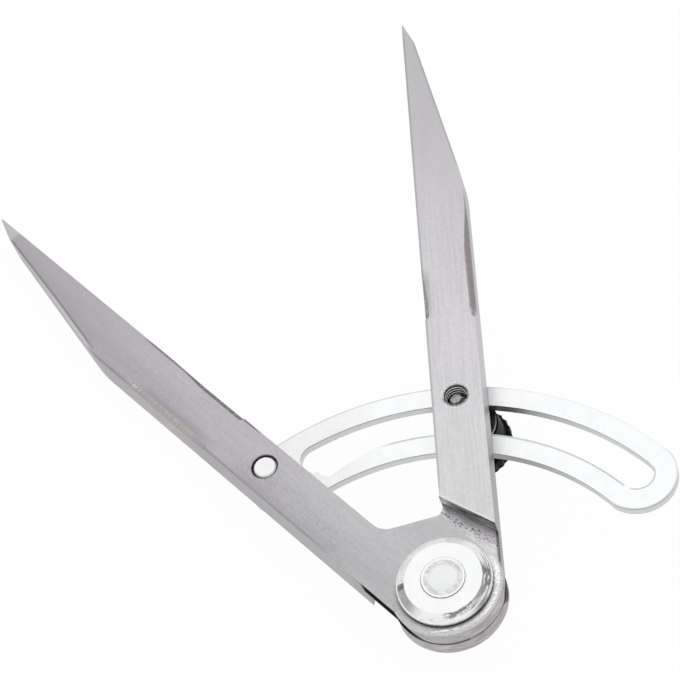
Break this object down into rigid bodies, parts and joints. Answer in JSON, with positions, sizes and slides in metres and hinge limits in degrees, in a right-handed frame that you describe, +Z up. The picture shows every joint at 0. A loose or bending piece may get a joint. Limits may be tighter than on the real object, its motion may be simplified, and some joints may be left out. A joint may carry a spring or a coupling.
{
  "type": "marking compass",
  "caption": "Steel marking compass with lapped riveted legs, ground points and a slotted arc clamped by a ribbed thumb screw",
  "frame": {"origin": "under the middle of the tool's box, on the surface it lies on", "axes": "Z is up from that surface, Y is the horizontal direction the right leg points in, within a degree, X is to the right seen from above"},
  "size_m": [0.1352, 0.1502, 0.0304],
  "materials": {
    "left_leg_steel": "ground and brushed, slightly greyed",
    "right_leg_steel": "ground and brushed lengthwise",
    "arc_zinc": "zinc plated",
    "pivot_zinc": "bright zinc",
    "rivet_zinc": "hammered bright zinc",
    "pin_steel": "bright",
    "screw_steel": "oiled",
    "clamp_washer_black": "black oxide",
    "knob_black": "satin moulded"
  },
  "bodies": {
    "left_leg_body": {"left_leg": "left_leg_steel", "slotted_arc": "arc_zinc", "arc_rivet_pin": "pin_steel", "pivot_rivet": "rivet_zinc", "front_pivot_washer": "pivot_zinc", "back_pivot_washer": "pivot_zinc"},
    "right_leg_body": {"right_leg": "right_leg_steel"},
    "clamp_washer_body": {"clamp_washer": "clamp_washer_black"},
    "thumb_screw_body": {"clamp_screw": "screw_steel", "clamp_knob": "knob_black"}
  },
  "joints": [
    {"name": "leg_pivot", "type": "hinge", "parent": "left_leg_body", "child": "right_leg_body", "pos_m": [0.02301, -0.06409, 0.01158], "axis": [0.2127, 0.1082, -0.9711], "range_deg": [-40.3, 49.7]},
    {"name": "clamp_travel", "type": "slide", "parent": "right_leg_body", "child": "clamp_washer_body", "axis": [0.2127, 0.1082, -0.9711], "range_m": [0, 0.0016]},
    {"name": "knob_turn", "type": "hinge", "parent": "clamp_washer_body", "child": "thumb_screw_body", "pos_m": [0.02742, -0.02359, 0.01706], "axis": [0.2127, 0.1082, -0.9711], "range_deg": [0, 720]}
  ],
  "couplings": [
    {"joint": "knob_turn", "follows": "clamp_travel", "rad_per_m": 7853.9}
  ]
}
